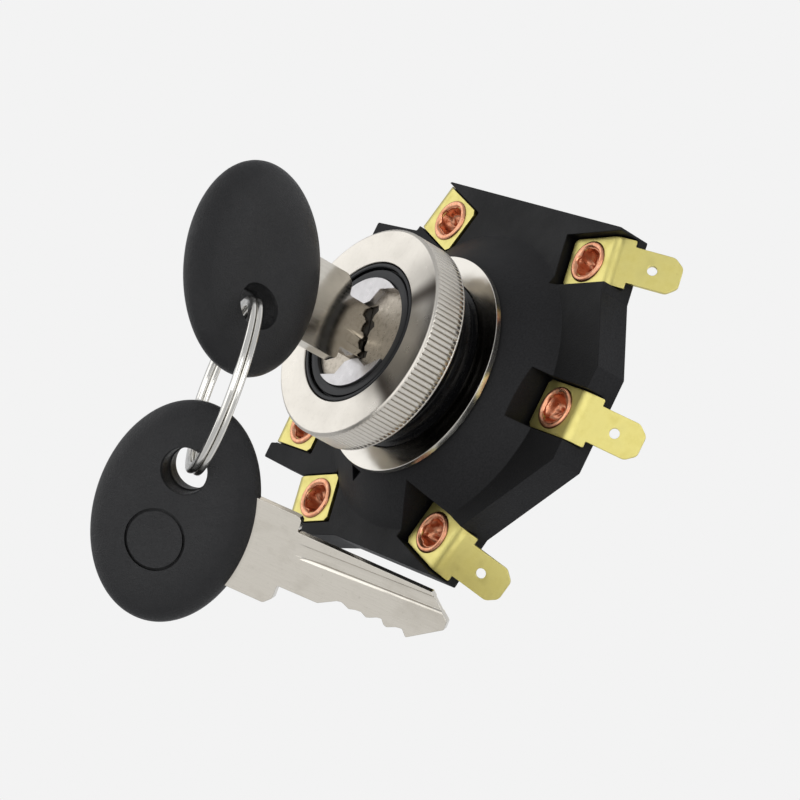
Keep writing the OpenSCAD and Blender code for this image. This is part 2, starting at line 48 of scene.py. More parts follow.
# ---------------------------------------------------------------- sizes, millimetres
FRONT_Z, REAR_Z = -7.6, -13.8
HUB_TOP_Z, HUB_TOP_R, HUB_FOOT_R = -1.2, 18.8, 26.7
BASE_BORE_R, BASE_BORE_Z, BARREL_HOLE_R = 17.6, -5.2, 15.05
SEAL_IN_R, SEAL_OUT_R, SEAL_DEPTH = 16.1, 17.9, 1.1
COVER_Z, CUP_R, CUP_Z = -15.8, 17.8, -25.8
CUP_BORE_R, CUP_FLOOR_Z, WELL_R, WELL_Z = 16.2, -24.2, 4.05, -25.1
NOTCH_OUT, NOTCH_Z, NOTCH_R = 14.9, -18.3, 1.78
BARREL_R, THREAD_PITCH, THREAD_DEPTH, THREAD_TOP_Z = 15.0, 1.5, 0.75, 8.5
NOSE_R, NOSE_Z, BORE_R = 12.3, 12.65, 11.65
NUT_R, NUT_Z, NUT_TOP_Z, NUT_FLANGE_Z = 18.5, 6.4, 12.8, 11.06
WASHER_R = 19.35
PLUG_R, CAP_Z, FACE_Z = 9.65, 11.2, 12.77
KEY_ANGLE = math.radians(-157.05)
SHOULDER_Z, BLADE_LEN, BLADE_T, BLADE_HALF = 16.5, 27.2, 2.0, 4.65
SHANK_HALF, SHANK_SHIFT, SHANK_TOP_Z = 7.6, 0.5, 29.5
HEAD_A, HEAD_B, HEAD_Z, HEAD_SHIFT = 18.5, 13.3, 36.3, 0.6
HEAD_MID, HOLE_OFF, HOLE_R = 4.3, 7.6, 3.5
STRIP_T, PAD_W, PAD_IN, BEND_AT = 0.8, 8.5, 4.5, 5.4
WIDE_LEN, TAB_LEN, TAB_W, TAB_HOLE_R, TAB_HOLE_OUT = 2.8, 8.4, 6.3, 0.85, 3.6
TAB_SLOPE, BEND_R = math.radians(46), 2.2
BEND_SPAN = 2 * BEND_R * math.tan(TAB_SLOPE / 2)
BEND_START = BEND_AT - BEND_SPAN / 2
SUNK_Z = -9.05
T_POS = ((-26.6, -18.6), (-26.5, 19.2), (-1.9, 28.2), (24.1, 13.2),
         (26.2, -18.6), (15.1, -31.0), (-15.1, -31.0))
T_DIR = (252, 104, 89.4, 74, 286, 271, 269)
T_TOP = (FRONT_Z, SUNK_Z, SUNK_Z, SUNK_Z, FRONT_Z, FRONT_Z, FRONT_Z)
EYELET_R, EYELET_HOLE_R, EYELET_ROOM_R, EYELET_END_Z = 2.5, 2.6, 3.25, -14.2
FOOT_R, FOOT_BORE_R, FOOT_LOW_Z, FOOT_TOP_Z = 2.95, 2.0, -14.3, -13.76
RING_MEAN_R, RING_PITCH, RING_TURNS = 13.9, 1.06, 1.97
RING_AT, RING_NORMAL = (18.947, 8.991, 37.601), (-0.1036, 0.4356, -0.8941)
SPARE_AT, SPARE_TURN = (39.87, 6.13, 33.36), (45, 13.8, -11.4)


# ---------------------------------------------------------------- shape helpers
# Stands an (x, y) outline up, so that its y runs along z
STAND = Matrix(((1, 0, 0, 0), (0, 0, -1, 0), (0, 1, 0, 0), (0, 0, 0, 1)))


def turn_z(angle):
    return Matrix.Rotation(angle, 4, "Z")


def fillet(points, radius, steps=3):
    """A closed outline with its corners rounded; radius is a number or one per corner."""
    count = len(points)
    radii = radius if isinstance(radius, (list, tuple)) else [radius] * count
    out = []
    for i, (point, r) in enumerate(zip(points, radii)):
        here = Vector(point)
        back = Vector(points[i - 1]) - here
        ahead = Vector(points[(i + 1) % count]) - here
        if r <= 0 or back.length < 1e-6 or ahead.length < 1e-6:
            out.append(tuple(here))
            continue
        half = back.angle(ahead) / 2
        reach = min(r / max(math.tan(half), 0.05), 0.46 * back.length, 0.46 * ahead.length)
        back.normalize()
        ahead.normalize()
        for k in range(steps + 1):
            s = k / steps
            out.append(tuple(here + back * reach * (1 - s) ** 2 + ahead * reach * s * s))
    return out


def lathe(profile, segs=128, wave=None):
    """A closed outline of (r, z) points turned about Z; wave(a, r, z) may move a point."""
    bm = bmesh.new()
    rings = []
    for i in range(segs):
        a = TAU * i / segs
        ring = []
        for r, z in profile:
            rr, zz = wave(a, r, z) if wave else (r, z)
            ring.append(bm.verts.new((rr * math.cos(a), rr * math.sin(a), zz)))
        rings.append(ring)
    for i in range(segs):
        p, q = rings[i], rings[(i + 1) % segs]
        for j in range(len(profile)):
            k = (j + 1) % len(profile)
            bm.faces.new((p[j], q[j], q[k], p[k]))
    bmesh.ops.remove_doubles(bm, verts=bm.verts, dist=1e-4)
    return bm


def prism(outline, z0, z1):
    """A straight block on an (x, y) outline."""
    bm = bmesh.new()
    low = [bm.verts.new((x, y, z0)) for x, y in outline]
    high = [bm.verts.new((x, y, z1)) for x, y in outline]
    bm.faces.new(low[::-1])
    bm.faces.new(high)
    for i in range(len(outline)):
        k = (i + 1) % len(outline)
        bm.faces.new((low[i], low[k], high[k], high[i]))
    return bm


def cylinder(r, z0, z1, segs=64):
    return lathe([(0, z0), (r, z0), (r, z1), (0, z1)], segs)


def moved(bm, matrix):
    bmesh.ops.transform(bm, matrix=matrix, verts=bm.verts)
    return bm


def add_to(bm, other):
    """Moves another mesh's shapes into this one."""
    mesh = bpy.data.meshes.new("work")
    other.to_mesh(mesh)
    other.free()
    bm.from_mesh(mesh)
    bpy.data.meshes.remove(mesh)


def as_object(bm, name="work"):
    bmesh.ops.recalc_face_normals(bm, faces=bm.faces)
    mesh = bpy.data.meshes.new(name)
    bm.to_mesh(mesh)
    bm.free()
    obj = bpy.data.objects.new(name, mesh)
    bpy.context.scene.collection.objects.link(obj)
    return obj


def boolean(base, tools, operation="DIFFERENCE"):
    """base cut by, or joined with, each tool in turn."""
    main = as_object(base)
    others = []
    for tool in tools:
        other = as_object(tool)
        mod = main.modifiers.new("cut", "BOOLEAN")
        mod.operation = operation
        mod.solver = "EXACT"
        mod.object = other
        others.append(other)
    graph = bpy.context.evaluated_depsgraph_get()
    mesh = bpy.data.meshes.new_from_object(main.evaluated_get(graph))
    bm = bmesh.new()
    bm.from_mesh(mesh)
    bpy.data.meshes.remove(mesh)
    for obj in [main] + others:
        data = obj.data
        bpy.data.objects.remove(obj)
        bpy.data.meshes.remove(data)
    bmesh.ops.remove_doubles(bm, verts=bm.verts, dist=2e-4)
    bmesh.ops.dissolve_degenerate(bm, edges=bm.edges, dist=1e-4)
    bm.normal_update()
    return bm


def bevel(bm, width, min_angle=30, segments=2):
    """Rounds the edges whose faces meet at more than min_angle.

    The width is cut down where short edges leave no room, and so it is nearly nothing on
    the base, the cover and the plug's face; their materials soften those edges instead.
    """
    limit = math.radians(min_angle)
    edges = [e for e in bm.edges if len(e.link_faces) == 2 and e.calc_face_angle(0) > limit]
    bmesh.ops.bevel(bm, geom=edges, offset=width, segments=segments, profile=0.6,
                    affect="EDGES", clamp_overlap=True, harden_normals=False)
    return bm


def piece(name, bm, body, node, material, place=None, smooth=32):
    """Makes the mesh a piece that rides on a body in place of a CAD node."""
    obj = as_object(bm, name)
    mesh = obj.data
    mesh.transform(Matrix.Scale(MM, 4))
    mesh.shade_smooth()
    mesh.set_sharp_from_angle(angle=math.radians(smooth))
    mesh.materials.append(material)
    if place is not None:
        where = place.copy()
        where.translation = where.translation * MM
        obj.matrix_world = where
    even = obj.modifiers.new("even_faces", "WEIGHTED_NORMAL")
    even.keep_sharp = True
    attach(obj, body)
    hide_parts(node)
    return obj


# ---------------------------------------------------------------- materials
class Surface:
    """A material's node tree, built up around one Principled BSDF."""

    def __init__(self, name, color, metallic=0.0, roughness=0.5, **extra):
        self.mat = bpy.data.materials.new(name)
        self.mat.use_nodes = True
        self.mat.diffuse_color = (*color, 1)
        self.nodes = self.mat.node_tree.nodes
        self.links = self.mat.node_tree.links
        self.bsdf = self.nodes["Principled BSDF"]
        self.set("Base Color", (*color, 1))
        self.set("Metallic", metallic)
        self.set("Roughness", roughness)
        for key, value in extra.items():
            self.set(key.replace("_", " "), value)
        self.coords = self.nodes.new("ShaderNodeTexCoord")
        self.color = None
        self.normal = None

    def set(self, key, value):
        self.bsdf.inputs[key].default_value = value

    def math(self, operation, a, b=0.0):
        node = self.nodes.new("ShaderNodeMath")
        node.operation = operation
        for socket, value in zip(node.inputs, (a, b)):
            if isinstance(value, (int, float)):
                socket.default_value = value
            else:
                self.links.new(value, socket)
        return node.outputs[0]

    def stretched(self, scale):
        """Object coordinates scaled along each axis, per millimetre."""
        node = self.nodes.new("ShaderNodeMapping")
        node.inputs["Scale"].default_value = [s / MM for s in scale]
        self.links.new(self.coords.outputs["Object"], node.inputs["Vector"])
        return node.outputs[0]

    def polar(self, per_mm, per_turn):
        """Coordinates that run round the lock axis: radius, angle and height."""
        split = self.nodes.new("ShaderNodeSeparateXYZ")
        self.links.new(self.coords.outputs["Object"], split.inputs[0])
        x, y, z = split.outputs
        radius = self.math("SQRT", self.math("ADD", self.math("MULTIPLY", x, x),
                                             self.math("MULTIPLY", y, y)))
        angle = self.math("ARCTAN2", y, x)
        join = self.nodes.new("ShaderNodeCombineXYZ")
        self.links.new(self.math("MULTIPLY", radius, per_mm / MM), join.inputs[0])
        self.links.new(self.math("MULTIPLY", angle, per_turn), join.inputs[1])
        self.links.new(self.math("MULTIPLY", z, per_mm / MM), join.inputs[2])
        return join.outputs[0]

    def noise(self, vector, detail=4.0, rough=0.55):
        node = self.nodes.new("ShaderNodeTexNoise")
        node.inputs["Scale"].default_value = 1.0
        node.inputs["Detail"].default_value = detail
        node.inputs["Roughness"].default_value = rough
        self.links.new(vector, node.inputs["Vector"])
        return node.outputs["Fac"]

    def ramp(self, fac, low, high, a, b):
        """fac from low..high spread over a..b."""
        node = self.nodes.new("ShaderNodeMapRange")
        node.inputs["From Min"].default_value = low
        node.inputs["From Max"].default_value = high
        node.inputs["To Min"].default_value = a
        node.inputs["To Max"].default_value = b
        self.links.new(fac, node.inputs["Value"])
        return node.outputs[0]

    def tint(self, fac, other):
        """Mixes the colour so far towards another colour."""
        node = self.nodes.new("ShaderNodeMix")
        node.data_type = "RGBA"
        self.links.new(fac, node.inputs[0])
        if self.color is None:
            node.inputs[6].default_value = self.bsdf.inputs["Base Color"].default_value
        else:
            self.links.new(self.color, node.inputs[6])
        node.inputs[7].default_value = (*other, 1)
        self.color = node.outputs[2]
        self.links.new(self.color, self.bsdf.inputs["Base Color"])

    def roughen(self, fac):
        """Drives the roughness."""
        self.links.new(fac, self.bsdf.inputs["Roughness"])

    def bump(self, fac, distance_mm, strength=1.0):
        """Adds a bump of that height on top of the ones before it."""
        node = self.nodes.new("ShaderNodeBump")
        node.inputs["Strength"].default_value = strength
        node.inputs["Distance"].default_value = distance_mm * MM
        self.links.new(fac, node.inputs["Height"])
        if self.normal is not None:
            self.links.new(self.normal, node.inputs["Normal"])
        self.normal = node.outputs[0]
        self.links.new(self.normal, self.bsdf.inputs["Normal"])

    def soft_edges(self, radius_mm):
        """Shades sharp edges as if they were rounded."""
        node = self.nodes.new("ShaderNodeBevel")
        node.samples = 4
        node.inputs["Radius"].default_value = radius_mm * MM
        self.normal = node.outputs[0]
        self.links.new(self.normal, self.bsdf.inputs["Normal"])

    def radial_tangent(self, amount):
        """Stretches reflections across rings turned about the lock axis."""
        node = self.nodes.new("ShaderNodeTangent")
        node.direction_type = "RADIAL"
        node.axis = "Z"
        self.links.new(node.outputs[0], self.bsdf.inputs["Tangent"])
        self.set("Anisotropic", amount)

    def sweep(self, stops):
        """A value that runs round the lock axis through (degrees, value) stops."""
        split = self.nodes.new("ShaderNodeSeparateXYZ")
        self.links.new(self.coords.outputs["Object"], split.inputs[0])
        angle = self.math("ARCTAN2", split.outputs[1], split.outputs[0])
        turn = self.math("ADD", self.math("MULTIPLY", angle, 1 / TAU), 0.5)
        node = self.nodes.new("ShaderNodeValToRGB")
        node.color_ramp.interpolation = "EASE"
        while len(node.color_ramp.elements) < len(stops):
            node.color_ramp.elements.new(1.0)
        for element, (degrees, value) in zip(node.color_ramp.elements, stops):
            element.position = (degrees + 180) / 360
            element.color = (value, value, value, 1)
        self.links.new(turn, node.inputs[0])
        return node.outputs[0]

    def facing(self, axis):
        """How far the surface faces along x, y or z: that part of its normal."""
        split = self.nodes.new("ShaderNodeSeparateXYZ")
        self.links.new(self.coords.outputs["Normal"], split.inputs[0])
        return split.outputs[axis]

    def flatness(self, low, high):
        """1 where the surface faces along +Z, 0 where it slopes."""
        return self.ramp(self.facing(2), low, high, 0, 1)

    def crevice_shade(self, reach_mm, color, power=1.0):
        """Painted shade: darkens the colour where other surfaces crowd around, by ambient
        occlusion.
        """
        node = self.nodes.new("ShaderNodeAmbientOcclusion")
        node.samples = 8
        node.inputs["Distance"].default_value = reach_mm * MM
        closed = self.math("SUBTRACT", 1.0, node.outputs["AO"])
        self.tint(self.math("POWER", closed, power), color)


def housing_plastic():
    """Black phenolic moulding with a sparked texture; the flats facing +Z are painted darker
    as painted shade.
    """
    s = Surface("housing_plastic", (0.014, 0.014, 0.0152), roughness=0.55,
                Specular_IOR_Level=0.2)
    s.soft_edges(0.25)
    cloud = s.noise(s.stretched((0.12, 0.12, 0.12)), detail=3)
    grain = s.noise(s.stretched((3.2, 3.2, 3.2)), detail=4, rough=0.7)
    s.tint(s.ramp(cloud, 0.4, 0.75, 0, 0.4), (0.019, 0.019, 0.02))
    s.tint(s.ramp(grain, 0.38, 0.72, 0, 0.75), (0.003, 0.003, 0.0035))
    # Painted shade: flats facing +Z tinted darker than the slopes
    s.tint(s.math("MULTIPLY", s.flatness(0.86, 0.985), 0.72), (0.001, 0.001, 0.0012))
    dust = s.noise(s.stretched((1.6, 1.6, 1.6)), detail=8, rough=0.8)
    s.tint(s.ramp(dust, 0.74, 0.8, 0, 0.3), (0.07, 0.07, 0.07))
    # Painted shade in the crevices
    s.crevice_shade(6, (0.0004, 0.0004, 0.0005), 0.6)
    s.roughen(s.ramp(cloud, 0.3, 0.7, 0.48, 0.62))
    s.bump(grain, 0.08, 0.7)
    return s.mat


def rubber_head():
    """Matt black moulded grip with a fine leather-like grain."""
    s = Surface("rubber_head", (0.008, 0.008, 0.009), roughness=0.5,
                Specular_IOR_Level=0.38)
    wave = s.noise(s.stretched((0.16, 0.16, 0.16)), detail=2)
    grain = s.noise(s.stretched((3.2, 3.2, 3.2)), detail=5, rough=0.7)
    speck = s.noise(s.stretched((2.0, 2.0, 2.0)), detail=10, rough=0.85)
    # Painted sheen: the broad faces, those facing along y, paler than the rim
    s.tint(s.ramp(s.math("ABSOLUTE", s.facing(1)), 0.9, 1.0, 0, 1), (0.019, 0.019, 0.02))
    s.tint(s.ramp(grain, 0.4, 0.7, 0, 0.6), (0.003, 0.003, 0.0035))
    s.tint(s.ramp(speck, 0.69, 0.78, 0, 0.4), (0.1, 0.1, 0.1))
    s.roughen(s.ramp(wave, 0.3, 0.7, 0.32, 0.46))
    # Painted shade in the crevices
    s.crevice_shade(9, (0.0003, 0.0003, 0.0003), 1.1)
    s.bump(wave, 0.6, 0.6)
    s.bump(grain, 0.26, 0.9)
    return s.mat


def black_gloss():
    s = Surface("black_gloss", (0.003, 0.003, 0.0035), roughness=0.3,
                Specular_IOR_Level=0.45)
    smear = s.noise(s.stretched((0.5, 0.5, 0.5)), detail=6)
    s.roughen(s.ramp(smear, 0.35, 0.7, 0.16, 0.34))
    return s.mat


def black_satin():
    s = Surface("black_satin", (0.016, 0.0165, 0.018), roughness=0.45,
                Specular_IOR_Level=0.35)
    ring = s.noise(s.polar(6, 1.5), detail=3)
    s.roughen(s.ramp(ring, 0.3, 0.7, 0.38, 0.52))
    s.bump(ring, 0.006, 0.5)
    return s.mat


def turned_nickel(name, color, low, high, tangent=0.75):
    """Nickel plate over a turned surface: fine rings and a swept highlight."""
    s = Surface(name, color, metallic=1.0, roughness=(low + high) / 2)
    s.soft_edges(0.1)
    rings = s.noise(s.polar(14, 0.8), detail=3, rough=0.6)
    cloud = s.noise(s.stretched((0.25, 0.25, 0.25)), detail=5)
    s.roughen(s.ramp(cloud, 0.3, 0.7, low, high))
    s.bump(rings, 0.004, 0.6)
    s.radial_tangent(tangent)
    return s


def nut_nickel():
    s = turned_nickel("nut_nickel", (0.75, 0.71, 0.64), 0.26, 0.36, 0.6)
    grain = s.noise(s.stretched((1.1, 1.1, 1.1)), detail=6, rough=0.65)
    s.tint(s.ramp(grain, 0.5, 0.75, 0, 0.35), (0.60, 0.56, 0.50))
    # Painted reflection: the turned face's colour darkens in two spokes either side of the
    # viewer, as its sheen would
    painted_spokes = s.sweep([(-180, 0.0), (30, 0.0), (52, 0.25), (62, 1.0), (74, 0.62),
                      (95, 0.4), (116, 0.55), (127, 1.0), (139, 0.3), (160, 0.0)])
    s.tint(s.math("MULTIPLY", s.math("MULTIPLY", painted_spokes, s.flatness(0.8, 0.97)), 0.95),
           (0.03, 0.02, 0.013))
    # Painted shade in the knurl's grooves and crevices
    s.crevice_shade(0.5, (0.22, 0.19, 0.15), 1.3)
    return s.mat


def washer_nickel():
    s = turned_nickel("washer_nickel", (0.72, 0.69, 0.63), 0.16, 0.26, 0.4)
    # Painted shade: the flat face tinted darker over one side of the lock axis
    shade = s.sweep([(-180, 0.0), (10, 0.0), (40, 0.75), (60, 1.0), (110, 1.0),
                     (132, 0.8), (155, 0.0), (170, 0.0)])
    s.tint(s.math("MULTIPLY", s.math("MULTIPLY", shade, s.flatness(0.9, 0.99)), 0.85),
           (0.06, 0.05, 0.04))
    return s.mat


def nickel_silver():
    """Rolled key blank: straight strokes, cloudy tarnish, a half-mirror face."""
    s = Surface("nickel_silver", (0.76, 0.72, 0.645), metallic=1.0, roughness=0.18)
    s.soft_edges(0.14)
    stroke = s.noise(s.stretched((5, 5, 0.2)), detail=4)
    cloud = s.noise(s.stretched((0.35, 0.35, 0.2)), detail=6)
    pit = s.noise(s.stretched((1.8, 1.8, 1.8)), detail=7, rough=0.75)
    s.tint(s.ramp(cloud, 0.5, 0.75, 0, 0.5), (0.54, 0.50, 0.43))
    s.tint(s.ramp(pit, 0.6, 0.72, 0, 0.4), (0.38, 0.35, 0.3))
    s.tint(s.ramp(stroke, 0.45, 0.7, 0, 0.32), (0.60, 0.56, 0.49))
    s.roughen(s.ramp(stroke, 0.3, 0.7, 0.06, 0.18))
    s.bump(stroke, 0.006, 0.5)
    s.bump(cloud, 0.05, 0.3)
    # Painted shade in the grooves and cuts
    s.crevice_shade(0.8, (0.12, 0.11, 0.1), 1.3)
    return s.mat


def plug_nickel():
    s = Surface("plug_nickel", (0.50, 0.45, 0.38), metallic=1.0, roughness=0.32)
    s.soft_edges(0.08)
    pits = s.noise(s.stretched((1.1, 1.1, 1.1)), detail=7, rough=0.75)
    s.tint(s.ramp(pits, 0.5, 0.66, 0, 0.75), (0.26, 0.225, 0.175))
    s.roughen(s.ramp(pits, 0.3, 0.7, 0.22, 0.48))
    s.bump(pits, 0.09, 0.7)
    # Painted shade in the recess corners
    s.crevice_shade(1.4, (0.05, 0.042, 0.035), 1.1)
    return s.mat


def face_nickel():
    s = Surface("face_nickel", (0.57, 0.555, 0.555), metallic=1.0, roughness=0.3)
    s.soft_edges(0.12)
    smear = s.noise(s.stretched((0.9, 0.9, 0.9)), detail=6)
    s.tint(s.ramp(smear, 0.5, 0.75, 0, 0.4), (0.5, 0.48, 0.48))
    s.roughen(s.ramp(smear, 0.35, 0.7, 0.26, 0.42))
    s.bump(smear, 0.008, 0.4)
    return s.mat


def keyway_shade_brass():
    """The lock plug behind its cap, seen only through the keyway: painted near black as
    painted shade in the keyway.
    """
    s = Surface("keyway_shade_brass", (0.012, 0.009, 0.006), roughness=0.35)
    mottle = s.noise(s.stretched((0.8, 0.8, 0.8)), detail=5)
    s.tint(s.ramp(mottle, 0.5, 0.75, 0, 0.5), (0.05, 0.035, 0.02))
    s.bump(mottle, 0.02, 0.4)
    return s.mat


def strip_brass():
    s = Surface("strip_brass", (0.74, 0.655, 0.23), metallic=1.0, roughness=0.34)
    s.soft_edges(0.14)
    cloud = s.noise(s.stretched((0.4, 0.4, 0.4)), detail=6)
    grain = s.noise(s.stretched((3, 0.6, 3)), detail=5, rough=0.6)
    spot = s.noise(s.stretched((1.3, 1.3, 1.3)), detail=6, rough=0.7)
    s.tint(s.ramp(cloud, 0.48, 0.75, 0, 0.55), (0.60, 0.51, 0.14))
    s.tint(s.ramp(spot, 0.62, 0.75, 0, 0.4), (0.50, 0.38, 0.1))
    s.roughen(s.ramp(cloud, 0.3, 0.7, 0.28, 0.44))
    s.bump(grain, 0.012, 0.5)
    # Painted shade where other surfaces crowd round the strip
    s.crevice_shade(0.9, (0.2, 0.13, 0.03), 1.2)
    return s.mat


def rolled_copper():
    s = Surface("rolled_copper", (0.86, 0.41, 0.24), metallic=1.0, roughness=0.3)
    cloud = s.noise(s.stretched((0.9, 0.9, 0.9)), detail=6)
    streak = s.noise(s.stretched((2.2, 2.2, 0.5)), detail=4)
    s.tint(s.ramp(cloud, 0.48, 0.72, 0, 0.55), (0.68, 0.24, 0.12))
    s.tint(s.ramp(streak, 0.5, 0.72, 0, 0.6), (0.96, 0.62, 0.42))
    # Painted shade: the eyelets' hollows darkened to red-brown
    s.crevice_shade(3.2, (0.20, 0.03, 0.012), 0.7)
    s.roughen(s.ramp(cloud, 0.3, 0.7, 0.24, 0.4))
    s.bump(cloud, 0.1, 0.6)
    return s.mat


def copper_strip():
    s = Surface("copper_strip", (0.80, 0.44, 0.30), metallic=1.0, roughness=0.36)
    cloud = s.noise(s.stretched((0.6, 0.6, 0.6)), detail=6)
    s.tint(s.ramp(cloud, 0.45, 0.75, 0, 0.6), (0.5, 0.25, 0.16))
    s.bump(cloud, 0.01, 0.4)
    return s.mat


def bright_wire(name, color=(0.86, 0.84, 0.79), low=0.12, high=0.26):
    s = Surface(name, color, metallic=1.0, roughness=0.16)
    scuff = s.noise(s.stretched((1.2, 1.2, 1.2)), detail=6)
    s.roughen(s.ramp(scuff, 0.35, 0.7, low, high))
    s.bump(scuff, 0.01, 0.4)
    return s.mat


def natural_plastic():
    s = Surface("natural_plastic", (0.55, 0.52, 0.43), roughness=0.45, Subsurface_Weight=0.05)
    grain = s.noise(s.stretched((3, 3, 3)), detail=4)
    s.bump(grain, 0.02, 0.4)
    return s.mat


HOUSING, RUBBER = housing_plastic(), rubber_head()
GLOSS, SATIN = black_gloss(), black_satin()
NUT, WASHER = nut_nickel(), washer_nickel()
BLADE, PLUG, FACE = nickel_silver(), plug_nickel(), face_nickel()
# The lock plug's near-black colour is painted shade
KEYWAY_SHADE = keyway_shade_brass()
BRASS, COPPER, CONTACT = strip_brass(), rolled_copper(), copper_strip()
WIRE = bright_wire("bright_wire")
ZINC = bright_wire("zinc_plate", (0.66, 0.67, 0.69), 0.22, 0.4)
NATURAL = natural_plastic()


# ---------------------------------------------------------------- base and cover
PLATE = [(-33.2, -23.4), (-33.2, 25.3), (-26, 26.7), (-22.2, 27.6), (-10.3, 35.2),
         (6.2, 35.2), (21.7, 21.1), (23.1, 20.2), (30.8, 18.9), (30.8, -9.1),
         (32.6, -16.7), (31.4, -22.6), (23.4, -24.7), (22.8, -37.9), (20.1, -37.9),
         (19.8, -36.3), (-19.8, -36.3), (-20.1, -37.9), (-22.8, -37.9), (-23.3, -26.3)]
COVER = [(-30, -20.5), (-30, 22.5), (-22, 25), (-9.5, 32), (5.5, 32), (20, 19),
         (27.8, 17), (27.8, -8), (29.4, -16), (28.6, -20.8), (20.4, -22.5),
         (20.4, -34.4), (-20.4, -34.4), (-20.4, -23)]


def at_terminal(i):
    x, y = T_POS[i]
    return Matrix.Translation((x, y, T_TOP[i])) @ turn_z(math.radians(T_DIR[i]))


def terminal_pocket(i):
    """The space a terminal lies in, open outwards and along the tab's slope."""
    half, depth, reach = PAD_W / 2 + 0.3, STRIP_T + 0.05, 20
    back = -PAD_IN - 0.9
    side = [(back, reach), (back, -depth), (BEND_AT, -depth),
            (BEND_AT + reach, -depth - reach * math.tan(TAB_SLOPE)),
            (BEND_AT + reach, reach)]
    bm = prism(side, -half, half)
    return moved(moved(bm, STAND), at_terminal(i))


def make_base():
    bm = prism(fillet(PLATE, 0.35, 2), REAR_Z, FRONT_Z)
    hub = lathe([(0, REAR_Z + 3), (HUB_FOOT_R, REAR_Z + 3), (HUB_FOOT_R, FRONT_Z),
                 (HUB_FOOT_R - 0.6, FRONT_Z + 0.42), (HUB_TOP_R + 0.25, HUB_TOP_Z - 0.2),
                 (HUB_TOP_R - 0.1, HUB_TOP_Z), (0, HUB_TOP_Z)], 160)
    bm = boolean(bm, [hub], "UNION")
    seal_z, clear = HUB_TOP_Z - SEAL_DEPTH, 2
    cuts = [cylinder(BASE_BORE_R, REAR_Z - 1, BASE_BORE_Z, 128),
            cylinder(BARREL_HOLE_R, -6, clear, 128),
            lathe([(SEAL_IN_R, seal_z), (SEAL_OUT_R, seal_z), (SEAL_OUT_R, clear),
                   (SEAL_IN_R, clear)], 144)]
    cuts += [terminal_pocket(i) for i in range(7)]
    for x, y in T_POS:
        hole = cylinder(EYELET_HOLE_R, REAR_Z - 1, -2, 48)
        cuts.append(moved(hole, Matrix.Translation((x, y, 0))))
    notch = prism([(-1.6, 0), (3.4, 3), (3.4, 5), (-1.6, 5)], 0, 6)
    stand = Matrix(((0, 0, 1, 0), (1, 0, 0, 0), (0, 1, 0, 0), (0, 0, 0, 1)))
    cuts.append(moved(moved(notch, stand),
                      turn_z(math.radians(-12)) @ Matrix.Translation((19.9, 0, -4.2))))
    bm = boolean(bm, cuts)
    bevel(bm, 0.2, 28, 2)
    piece("base_moulding", bm, "switch_body", "base_housing", HOUSING, smooth=24)


def make_cover():
    top, clear = REAR_Z - 0.01, -10
    bm = prism(fillet(COVER, 0.4, 2), COVER_Z, top)
    bm = boolean(bm, [cylinder(CUP_R, CUP_Z, top, 128)], "UNION")
    cuts = [cylinder(CUP_BORE_R, CUP_FLOOR_Z, clear, 128), cylinder(WELL_R, WELL_Z, -20)]
    for x, y in T_POS:
        room = cylinder(EYELET_ROOM_R, REAR_Z - 1.1, clear)
        cuts.append(moved(room, Matrix.Translation((x, y, 0))))
    bm = boolean(bm, cuts)
    bevel(bm, 0.25, 40, 2)
    # One notch for the detent ball at each key position
    notches = []
    for k in range(3):
        notch = bmesh.new()
        bmesh.ops.create_uvsphere(notch, u_segments=48, v_segments=24, radius=NOTCH_R)
        moved(notch, Matrix.Translation((NOTCH_OUT, 0, NOTCH_Z)))
        notches.append(moved(notch, turn_z(math.radians(270 - 45 * k))))
    bm = boolean(bm, notches)
    piece("rear_cup", bm, "switch_body", "rear_cover", HOUSING, smooth=24)


# ---------------------------------------------------------------- barrel, nut, washer
def make_barrel():
    root = BARREL_R - THREAD_DEPTH
    flange_r, flange_z = 17.5, -8.2
    outer = [(flange_r, flange_z), (flange_r, -5.22), (BARREL_R, -5.2), (BARREL_R, -0.1),
             (root, 0.25)]
    turns = int((THREAD_TOP_Z + 0.4) / THREAD_PITCH)
    for k in range(turns - 1, -1, -1):
        top = THREAD_TOP_Z - 0.1 - k * THREAD_PITCH
        outer += [(root, top - 1.35), (BARREL_R - 0.1, top - 0.86), (BARREL_R, top - 0.78),
                  (BARREL_R, top - 0.57), (BARREL_R - 0.1, top - 0.49), (root, top)]
    nose = [(root, THREAD_TOP_Z), (NOSE_R, THREAD_TOP_Z), (NOSE_R, NOSE_Z - 0.2),
            (NOSE_R - 0.06, NOSE_Z - 0.06), (NOSE_R - 0.2, NOSE_Z), (BORE_R + 0.15, NOSE_Z),
            (BORE_R, NOSE_Z - 0.15), (BORE_R, flange_z)]
    bm = lathe(outer + nose, 160)
    obj = piece("barrel", bm, "switch_body", "threaded_barrel", GLOSS)
    obj.data.materials.append(SATIN)
    for face in obj.data.polygons:
        if face.center.z > (THREAD_TOP_Z + 1) * MM:
            face.material_index = 1


def make_shell():
    rim = [(9.74, -10.5), (14.5, -10.5), (14.5, -8.22), (11.6, -8.2), (11.6, 11.5),
           (11.5, 11.6), (11.35, 11.62), (11.28, 11.8), (11.26, 12.15), (11.18, 12.3),
           (11.0, 12.35), (9.95, 12.35), (9.8, 12.28), (9.74, 12.1)]
    piece("lock_sleeve", lathe(rim, 160), "switch_body", "lock_shell", SATIN)


def make_washer():
    top, low = 0.0, HUB_TOP_Z
    ring = [(15.1, low), (WASHER_R - 0.2, low), (WASHER_R, low + 0.2),
            (WASHER_R, top - 0.12), (WASHER_R - 0.04, top - 0.04),
            (WASHER_R - 0.12, top), (15.3, top), (15.1, top - 0.2)]
    piece("washer", lathe(ring, 192), "switch_body", "panel_washer", WASHER)


